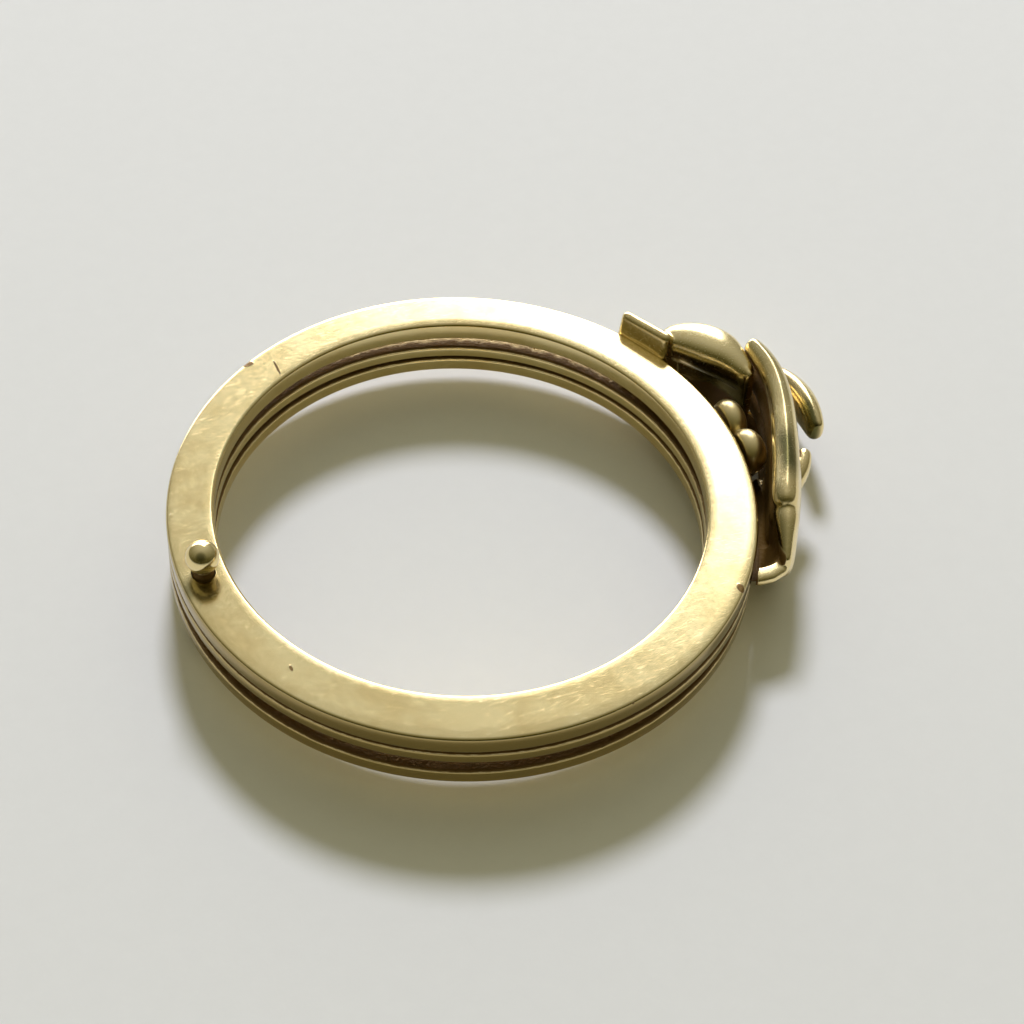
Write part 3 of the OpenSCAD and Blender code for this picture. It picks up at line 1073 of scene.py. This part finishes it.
class RING_OT_rivet(bpy.types.Operator):
    """Model the rivet with its ball, neck, shank and button"""

    bl_idname = "ring.rivet"
    bl_label = "Rivet"

    def execute(self, context):
        s = sizes()
        top = levels()[0]
        ball_r = s.ball_diameter / MM / 2
        neck_r = s.neck_diameter / MM / 2
        shank_r = s.shank_diameter / MM / 2
        button_r = s.button_diameter / MM / 2
        ball_z = BALL_TOP_Z - ball_r
        shank_z = -top - 0.1
        button_top = -top - 0.05
        rivet = ball(ball_r, at_rivet(ball_z), segments=96)
        apply_transform()

        deselect()
        bpy.ops.mesh.primitive_circle_add(
            vertices=64, radius=shank_r, fill_type="NGON", location=at_rivet(shank_z))
        shank = bpy.context.object
        apply_transform()
        edit()
        level, radius = shank_z, shank_r
        # Level and radius: up through the hoops, a step in above them, the neck into the ball
        for z, r in (
            (top - 0.02, shank_r),
            (top + 0.03, shank_r - 0.01),
            (top + 0.07, neck_r + 0.05),
            (top + 0.12, neck_r + 0.015),
            (top + 0.20, neck_r),
            (ball_z, neck_r),
        ):
            bpy.ops.mesh.extrude_region_move(TRANSFORM_OT_translate={"value": (0, 0, z - level)})
            bpy.ops.transform.resize(
                value=(r / radius, r / radius, 1), center_override=at_rivet(z))
            level, radius = z, r
        bpy.ops.mesh.select_all(action="SELECT")
        bpy.ops.mesh.normals_make_consistent(inside=False)
        leave_edit()
        cut(rivet, shank, operation="UNION")

        button = ball(button_r, at_rivet(FOOT_Z + button_r))
        apply_transform()
        edit()
        bpy.ops.mesh.bisect(
            plane_co=(0, 0, button_top), plane_no=(0, 0, 1), use_fill=True, clear_outer=True)
        leave_edit()
        cut(rivet, button, operation="UNION")

        rivet.name = rivet.data.name = "rivet_ball"
        neck_top = top + 0.32
        front = Vector((-0.26, -0.6, 0.755))
        # Painted shadow on the neck's foot and everything below it.
        mark(rivet, "grime_and_shade", lambda p, n: ramp(neck_top - p.z, 0.0, 0.12))
        # Painted dark reflection on the part of the ball that faces the camera.
        mark(rivet, "painted_reflection_and_shade", lambda p, n: 0.7 * ramp(n.dot(front), 0.93, 1.0))
        settle(rivet, "middle", "rivet")
        return {"FINISHED"}


class RING_OT_stage(bpy.types.Operator):
    """Set the floor, the soft lights and the camera"""

    bl_idname = "ring.stage"
    bl_label = "Stage"

    def execute(self, context):
        eye = Vector(CAMERA_PLACE) * MM
        target = Vector(CAMERA_TARGET) * MM
        back = Vector((*(target - eye).xy, 0)).normalized()
        self.paper(context)
        self.lamp(context, back)
        self.surroundings(context, back)
        self.camera(context, eye, target)
        context.scene.view_settings.view_transform = "Standard"
        return {"FINISHED"}

    def paper(self, context):
        """Sheet of pale paper with a fine grain, as the floor."""
        c = colours()
        deselect()
        bpy.ops.mesh.primitive_plane_add(size=3.0, location=(0, 0, FOOT_Z * MM))
        floor = context.object
        floor.name = "floor"
        material = bpy.data.materials.new("pale_paper")
        material.use_nodes = True
        tree = material.node_tree
        shader = tree.nodes["Principled BSDF"]
        shader.inputs["Roughness"].default_value = 0.85
        place = add_node(tree, "ShaderNodeTexCoord").outputs["Object"]
        fibres = noise(tree, place, scale=1200.0, detail=6.0, rough=0.6)
        tone = tuple(v * 0.96 for v in c.floor)
        colour = mix_colour(tree, fibres, (*c.floor, 1), (*tone, 1))
        link(tree, colour, shader.inputs["Base Color"])
        grain = bump(tree, fibres, strength=0.25, distance=0.03 * MM)
        link(tree, grain, shader.inputs["Normal"])
        floor.data.materials.append(material)

    def lamp(self, context, back):
        """Small soft light behind the ring, which casts its shadow."""
        way = toward(back, azimuth=-6.4, elevation=44.0)
        data = bpy.data.lights.new("lamp", "AREA")
        data.shape = "DISK"
        data.size = 0.14
        data.energy = 3.1
        data.color = (0.905, 0.925, 1.055)
        light = bpy.data.objects.new("lamp", data)
        context.scene.collection.objects.link(light)
        distance = 0.6
        light.location = way * distance
        aim(light, -way)
        light.visible_glossy = False

    def surroundings(self, context, back):
        """Room light: pale behind the ring and dark in front, with a bright window low behind.

        Only the gold sees the window, whose upper edge slants; the lamp lights the floor."""
        c = colours()
        world = bpy.data.worlds.new("room")
        context.scene.world = world
        world.use_nodes = True
        tree = world.node_tree
        way = add_node(tree, "ShaderNodeTexCoord").outputs["Generated"]

        brightest = toward(back, azimuth=-5.0, elevation=50.0)
        share = remap(tree, vector(tree, "DOT_PRODUCT", way, brightest), low=-0.5, high=1.0)
        # From the side that faces away from the brightest place to that place itself
        room = ramp_colour(tree, share, (
            (0.0, c.dark),
            (0.27, (0.08, 0.075, 0.03)),
            (0.45, (0.15, 0.145, 0.09)),
            (0.67, c.shade),
            (0.83, (0.36, 0.355, 0.31)),
            (1.0, c.sky),
        ))

        edge_left = toward(back, azimuth=-6.5, elevation=43.6)
        edge_right = toward(back, azimuth=7.0, elevation=50.0)
        down = edge_left.cross(edge_right).normalized()
        right = toward(back, azimuth=102.0, elevation=0.0)
        below = remap(tree, vector(tree, "DOT_PRODUCT", way, down), low=0.03, high=0.075)
        beside = remap(
            tree, vector(tree, "DOT_PRODUCT", way, right), low=-0.03, high=0.03,
            to_low=1.0, to_high=0.0)
        window = calc(tree, "MULTIPLY", below, beside)
        mirrored = mix_colour(tree, window, room, (*c.window, 1))
        tinted = vector(tree, "MULTIPLY", room, c.fill)
        glossy = add_node(tree, "ShaderNodeLightPath").outputs["Is Glossy Ray"]
        sheet = tree.nodes["Background"]
        link(tree, mix_colour(tree, glossy, tinted, mirrored), sheet.inputs["Color"])
        sheet.inputs["Strength"].default_value = 1.0

    def camera(self, context, eye, target):
        data = bpy.data.cameras.new("camera")
        data.lens = 89.05
        data.sensor_width = 36
        data.clip_start = 0.005
        data.clip_end = 20
        camera = bpy.data.objects.new("camera", data)
        context.scene.collection.objects.link(camera)
        camera.location = eye
        aim(camera, target - eye)
        camera.rotation_euler.rotate_axis("Z", math.radians(CAMERA_ROLL))
        context.scene.camera = camera


class RING_PT_panel(bpy.types.Panel):
    """Lists the ring's pieces"""

    bl_idname = "RING_PT_panel"
    bl_label = "Gold ring"
    bl_space_type = "VIEW_3D"
    bl_region_type = "UI"
    bl_category = "Ring"

    def draw(self, context):
        layout = self.layout
        for step in STEPS:
            layout.operator(step.bl_idname)
        for group in (context.scene.ring_sizes, context.scene.ring_colours):
            box = layout.box()
            for name in group.__annotations__:
                box.prop(group, name)


STEPS = (
    RING_OT_bands,
    RING_OT_left_hand,
    RING_OT_right_hand,
    RING_OT_heart,
    RING_OT_rivet,
    RING_OT_stage,
)
CLASSES = (RingSizes, RingColours, *STEPS, RING_PT_panel)


def register():
    for item in CLASSES:
        bpy.utils.register_class(item)
    bpy.types.Scene.ring_sizes = PointerProperty(type=RingSizes)
    bpy.types.Scene.ring_colours = PointerProperty(type=RingColours)


def unregister():
    del bpy.types.Scene.ring_colours
    del bpy.types.Scene.ring_sizes
    for item in reversed(CLASSES):
        bpy.utils.unregister_class(item)


def main():
    register()
    bpy.ops.ring.bands()
    bpy.ops.ring.left_hand()
    bpy.ops.ring.right_hand()
    bpy.ops.ring.heart()
    bpy.ops.ring.rivet()
    bpy.ops.ring.stage()


if __name__ == "__main__":
    main()
